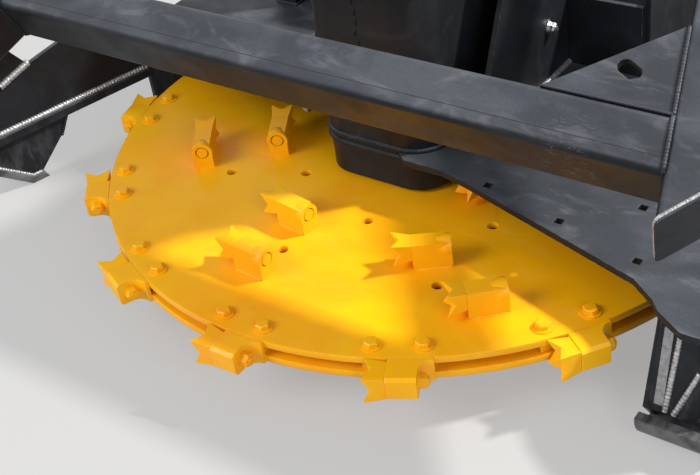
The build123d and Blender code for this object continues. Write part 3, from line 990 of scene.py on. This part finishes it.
@listed
class MULCHER_OT_stage(Operator):
    """Camera, pale floor and soft studio lamps"""
    bl_idname = "mulcher.stage"
    bl_label = "Stage"

    def execute(self, context):
        scene = context.scene
        scene.view_settings.view_transform = "Standard"
        stage_camera(scene.mulcher_stage)
        stage_floor(scene.mulcher_colours.floor)
        stage_world()
        for name, settings in LAMPS.items():
            lamp(name, *settings)
        return {"FINISHED"}


@listed
class MULCHER_OT_finishes(Operator):
    """Paint and metal on every part of the frame"""
    bl_idname = "mulcher.finishes"
    bl_label = "Finishes"

    def execute(self, context):
        for row in frame["record"]["subparts"]:
            material = finish(SLOT_FINISH[row["material_slot"]])
            for slot in NODES[row["node"]].material_slots:
                slot.link = "OBJECT"
                slot.material = material
        return {"FINISHED"}


@listed
class MULCHER_OT_soft_edges(Operator):
    """Broken edges on plates, tubes and castings"""
    bl_idname = "mulcher.soft_edges"
    bl_label = "Soft edges"

    def execute(self, context):
        for node in NODES.values():
            node.modifiers.new("weld", "WELD").merge_threshold = MERGE
            edge = node.modifiers.new("soft_edges", "BEVEL")
            edge.width = context.scene.mulcher_sizes.soft_edge
            edge.segments = 2
            edge.limit_method = "ANGLE"
            edge.angle_limit = radians(32)
        return {"FINISHED"}


@listed
class MULCHER_OT_rim_bolts(Operator):
    """Two bolts through the disc at every rim holder, with nuts below"""
    bl_idname = "mulcher.rim_bolts"
    bl_label = "Rim bolts"

    def execute(self, context):
        flats = context.scene.mulcher_sizes.rim_bolt
        angles = [angle + side * RIM_BOLT_HALF for angle in RIM_ANGLES for side in (-1, 1)]
        heads = [(on_ring(angle, RIM_BOLT_R, DISC_TOP), UP) for angle in angles]
        nuts = [(on_ring(angle, RIM_BOLT_R, DISC_LOW), DOWN) for angle in angles]
        on_points("rim_bolt_heads", heads, "hex_bolt", YELLOW, seed=3, across_flats=flats, head=0.0095,
                  washer_radius=0.0200, washer=0.0025, stud=-0.004)
        on_points("rim_bolt_nuts", nuts, "hex_bolt", YELLOW, seed=5, across_flats=flats, head=0.012,
                  washer_radius=0.0185, washer=0.003, stud=0.004)
        return {"FINISHED"}


@listed
class MULCHER_OT_tooth_bolts(Operator):
    """The bolt behind every rim tooth"""
    bl_idname = "mulcher.tooth_bolts"
    bl_label = "Tooth bolts"

    def execute(self, context):
        places = []
        for angle in RIM_ANGLES:
            way = clockwise(angle)
            holder = on_ring(angle, RIM_HOLDER_R, (DISC_TOP + DISC_LOW) / 2)
            places.append((holder - way * RIM_HOLDER_REAR * MM, -way))
        on_points("tooth_bolts", places, "hex_bolt", YELLOW, seed=7, head=0.013, washer_radius=0.0150,
                  across_flats=context.scene.mulcher_sizes.tooth_bolt, washer=0.004, stud=0.003)
        return {"FINISHED"}


@listed
class MULCHER_OT_surface_holders(Operator):
    """The painted shade ring round each surface holder's sunk screw, and the weld beads at its foot"""
    bl_idname = "mulcher.surface_holders"
    bl_label = "Surface holders"

    def execute(self, context):
        rings = []
        paths = []
        for rear, front, way in surface_holders():
            rings.append((rear + UP * SCREW_HEIGHT * MM + way * RING_DEPTH * MM, -way))
            for side in (-1, 1):
                out = way.cross(UP) * HOLDER_FOOT * MM * side
                paths.append(line(rear + out + way * 0.004, front + out - way * 0.006))
        # Each ring is a thin dark cap: painted shade in the recess round the screw
        on_points("screw_rings", rings, "round_cap", SCREW_SHADE, seed=2, height=0.0006, chamfer=0.0002,
                  radius=context.scene.mulcher_sizes.screw_radius)
        beads("holder_welds", paths, YELLOW, seed=11, radius=0.0026, pitch=0.006)
        return {"FINISHED"}


@listed
class MULCHER_OT_hub_bolts(Operator):
    """Bolts under the rotor's hub"""
    bl_idname = "mulcher.hub_bolts"
    bl_label = "Hub bolts"

    def execute(self, context):
        places = [(on_ring(index * 360 / HUB_BOLTS, HUB_CIRCLE, HUB_LOW), DOWN) for index in range(HUB_BOLTS)]
        on_points("hub_bolts", places, "hex_bolt", YELLOW, seed=8, across_flats=0.024, head=0.013,
                  washer_radius=0.0185, washer=0.003, stud=-0.004)
        return {"FINISHED"}


@listed
class MULCHER_OT_motor_bolts(Operator):
    """Bolts round the motor's flange, and the zinc bolt in each cheek plate"""
    bl_idname = "mulcher.motor_bolts"
    bl_label = "Motor bolts"

    def execute(self, context):
        turns = [30 + index * 360 / FLANGE_BOLTS for index in range(FLANGE_BOLTS)]
        flange = [(on_ring(turn, FLANGE_CIRCLE, FLANGE_TOP), UP) for turn in turns]
        on_points("motor_bolts", flange, "hex_bolt", ZINC, seed=4, across_flats=0.019, head=0.010,
                  washer_radius=0.0125, washer=0.0025, stud=-0.003)
        cheek = [(at(CHEEK_RIGHT, CHEEK_BOLT_Y, DISC_TOP + CHEEK_BOLT_Z), RIGHT),
                 (at(CHEEK_LEFT, CHEEK_BOLT_Y, DISC_TOP + CHEEK_BOLT_Z), LEFT)]
        on_points("cheek_bolts", cheek, "hex_bolt", ZINC, seed=6, across_flats=0.019, head=0.012,
                  washer_radius=0.0165, washer=0.003, stud=0.006)
        return {"FINISHED"}


@listed
class MULCHER_OT_deck_welds(Operator):
    """Weld beads between the deck and what stands on it"""
    bl_idname = "mulcher.deck_welds"
    bl_label = "Deck welds"

    def execute(self, context):
        beads("tower_foot_welds", [tower_ring(DECK_TOP + 2), tower_ring(DECK_LOW - 2)], BLACK, seed=20,
              radius=0.0062, pitch=0.011)
        cheeks = []
        paths = []
        _, post_right, post_front, post_rear, _, _ = span("arm_posts")
        for side in (-1, 1):
            outer = side * CHEEK_RIGHT
            inner = side * (CHEEK_RIGHT - CHEEK_T)
            web_in = side * (WEB_RIGHT - WEB_T)
            post_in = side * (post_right - ARM_W + 4)
            post = corners_at(post_in, side * post_right, post_front, post_rear, DECK_TOP)
            cheeks.append(lengthways(outer, CHEEK_FRONT + 2, CHEEK_REAR - 2, DECK_TOP + 1))
            paths += [lengthways(inner, CHEEK_FRONT, CHEEK_REAR - CHEEK_T, DECK_TOP),
                      lengthways(side * WEB_RIGHT, CHEEK_REAR, WEB_REAR, DECK_TOP),
                      lengthways(web_in, CHEEK_REAR, WEB_REAR, DECK_TOP),
                      sideways(outer, web_in, CHEEK_REAR, DECK_TOP), (post, True)]
        paths.append(sideways(CHEEK_LEFT, CHEEK_RIGHT, CHEEK_REAR, DECK_TOP))
        beads("deck_welds", paths, BLACK, seed=21)
        beads("cheek_foot_welds", cheeks, BARE_WELD, seed=24, radius=0.0080, pitch=0.008)
        return {"FINISHED"}


@listed
class MULCHER_OT_tower_welds(Operator):
    """Weld beads of the spindle tower, and the plug welds down its front"""
    bl_idname = "mulcher.tower_welds"
    bl_label = "Tower welds"

    def execute(self, context):
        paths = [tower_ring(TOWER_TOP)]
        for side in (-1, 1):
            inner = side * (CHEEK_RIGHT - CHEEK_T)
            paths.append(lengthways(side * CHEEK_RIGHT, CHEEK_SLOPE_Y, CHEEK_REAR, TOWER_TOP))
            paths.append(upright(inner, CHEEK_REAR - CHEEK_T, DECK_TOP, TOWER_TOP))
        beads("tower_welds", paths, BLACK, seed=22)
        plugs = []
        for step in range(PLUG_COUNT):
            height = DECK_TOP + PLUG_START + step * PLUG_STEP
            lean = PLUG_SWAY * sin(step * 2.4)
            plugs.append(line(*[at(lean + x, TOWER_FRONT, height + z) for x, z in PLUG_ENDS]))
        beads("tower_plug_welds", plugs, BLACK, seed=23, radius=0.0032, pitch=0.006)
        return {"FINISHED"}


@listed
class MULCHER_OT_push_frame_welds(Operator):
    """Weld beads of the push frame: tubes, gussets and arm caps"""
    bl_idname = "mulcher.push_frame_welds"
    bl_label = "Push frame welds"

    def execute(self, context):
        joints = []
        corners = []
        caps = []
        for side in (-1, 1):
            for start in (0.0, ARM_LENGTH - BAR):
                ends = [arm_face(*place, side) for place in around(start, start + BAR, 0, -BAR)]
                joints.append(rounded_loop(ends, BAR_ROUND * MM))
            joints.append(line(arm_face(BAR, -GUSSET_DOWN, side),
                               arm_face(GUSSET_END - 4, -GUSSET_DOWN, side)))
            corners.append(line(on_push_frame(side * (GUSSET_START + 6), BAR, -GUSSET_DOWN / 2),
                                arm_face(BAR, -GUSSET_DOWN / 2, side)))
            ring = [arm_edge_at_cap(*place, side) for place in around(0, ARM_W, 0, -BAR)]
            caps.append(rounded_loop(ring, ARM_ROUND * MM))
        seam_end = BAR_END - SEAM_IN
        seam = [line(on_push_frame(-seam_end, SEAM_UP, 0), on_push_frame(seam_end, SEAM_UP, 0))]
        beads("push_frame_welds", joints, BLACK, seed=31, radius=0.0046, pitch=0.0065)
        beads("gusset_welds", corners, BLACK, seed=34, radius=0.0029)
        beads("arm_cap_welds", caps, BARE_WELD, seed=32, radius=0.0034, pitch=0.005)
        # The seam is a thin ridge in a near-black finish: painted shade along the seam's groove
        beads("bar_seam", seam, SEAM, seed=33, radius=0.0005, pitch=0.05)
        return {"FINISHED"}


@listed
class MULCHER_OT_wing_welds(Operator):
    """Weld beads of the flared wing and of the legs"""
    bl_idname = "mulcher.wing_welds"
    bl_label = "Wing and leg welds"

    def execute(self, context):
        rub_bar = line(on_wing(8, RUB_TOP + 2, 1), on_wing(WING_LENGTH, RUB_TOP + 2, 1))
        beads("wing_welds", [rub_bar, wing_line(NOTCH_BEAD)], BARE_WELD, seed=41, radius=0.0090, pitch=0.0080)
        seams = [line(on_leg(*low), on_leg(*high)) for low, high in LEG_BEADS]
        seams.append(wing_line(SHOE_BEAD))
        beads("leg_bright_welds", seams, BARE_WELD, seed=43, radius=0.0052, pitch=0.0070)
        leg_in, _, _, leg_back, _, _ = span("leg_right_plate")
        paths = [lengthways(leg_in, LEG_FOOT_Y, leg_back - 4, SOLE_TOP + 1), wing_line(BRACE_BEAD)]
        wall_beads = ((WALL_OUT, 30, DECK_LOW), (WALL_IN, 30, DECK_LOW), (WALL_OUT, 45, SOLE_TOP))
        for side, start in ((-1, WING_Y), (1, WALL_FRONT)):
            for reach, gap, height in wall_beads:
                paths.append(lengthways(side * reach, start + gap, WALL_REAR - 2, height))
        beads("leg_welds", paths, BLACK, seed=42)
        return {"FINISHED"}


@listed
class MULCHER_OT_leg_edge(Operator):
    """The ground edge strip down the front of the leg on the right"""
    bl_idname = "mulcher.leg_edge"
    bl_label = "Leg edge"

    def execute(self, context):
        low = on_leg(STRIP_X, LEG_LOW_Z + 14)
        high = on_leg(STRIP_X, LEG_HIGH_Z - 4)
        out = LEFT.cross((high - low).normalized())
        section = STRIP_HALF + [(-u, w) for u, w in reversed(STRIP_HALF)]
        work = bmesh.new()
        ends = [[work.verts.new(place + (RIGHT * u + out * w) * MM) for u, w in section]
                for place in (low, high)]
        for index in range(len(section)):
            work.faces.new((ends[0][index - 1], ends[0][index], ends[1][index], ends[1][index - 1]))
        work.faces.new(ends[0])
        work.faces.new(ends[1])
        bmesh.ops.recalc_face_normals(work, faces=work.faces)
        mesh = bpy.data.meshes.new("leg_edge_strip")
        work.to_mesh(mesh)
        work.free()
        mesh.materials.append(finish(GROUND[2]))
        add_piece("leg_edge_strip", mesh, GROUND)
        return {"FINISHED"}


@listed
class MULCHER_OT_coupler_welds(Operator):
    """Weld beads of the coupler plate"""
    bl_idname = "mulcher.coupler_welds"
    bl_label = "Coupler welds"

    def execute(self, context):
        front = COUPLER_REAR - CHEEK_T
        paths = [sideways(-COUPLER_HALF, COUPLER_HALF, front, COUPLER_TOP),
                 sideways(-COUPLER_HALF, COUPLER_HALF, COUPLER_REAR, COUPLER_LOW)]
        for side in (-1, 1):
            for reach in (WEB_RIGHT, WEB_RIGHT - WEB_T):
                paths.append(upright(side * reach, front, DECK_TOP, COUPLER_TOP - 4))
        beads("coupler_welds", paths, BLACK, seed=51)
        return {"FINISHED"}


GROUPS = {"mulcher_sizes": MulcherSizes, "mulcher_colours": MulcherColours, "mulcher_stage": MulcherStage}


class MULCHER_PT_panel(Panel):
    """Sizes, colours and steps of the mulcher"""
    bl_idname = "MULCHER_PT_panel"
    bl_label = "Disc mulcher"
    bl_space_type = "VIEW_3D"
    bl_region_type = "UI"
    bl_category = "Mulcher"

    def draw(self, context):
        for name, group_class in GROUPS.items():
            for key in group_class.__annotations__:
                self.layout.prop(getattr(context.scene, name), key)
        for operator in STEPS:
            self.layout.operator(operator.bl_idname)


CLASSES = (*GROUPS.values(), *STEPS, MULCHER_PT_panel)


def register():
    for cls in CLASSES:
        bpy.utils.register_class(cls)
    for name, group_class in GROUPS.items():
        setattr(bpy.types.Scene, name, bpy.props.PointerProperty(type=group_class))


def unregister():
    for name in reversed(GROUPS):
        delattr(bpy.types.Scene, name)
    for cls in reversed(CLASSES):
        bpy.utils.unregister_class(cls)


def write_sizes():
    """Brings the view layer up to date."""
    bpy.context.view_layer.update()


def main():
    register()
    for operator in STEPS:
        getattr(bpy.ops.mulcher, operator.bl_idname.split(".")[1])()
    write_sizes()


if __name__ == "__main__":
    main()
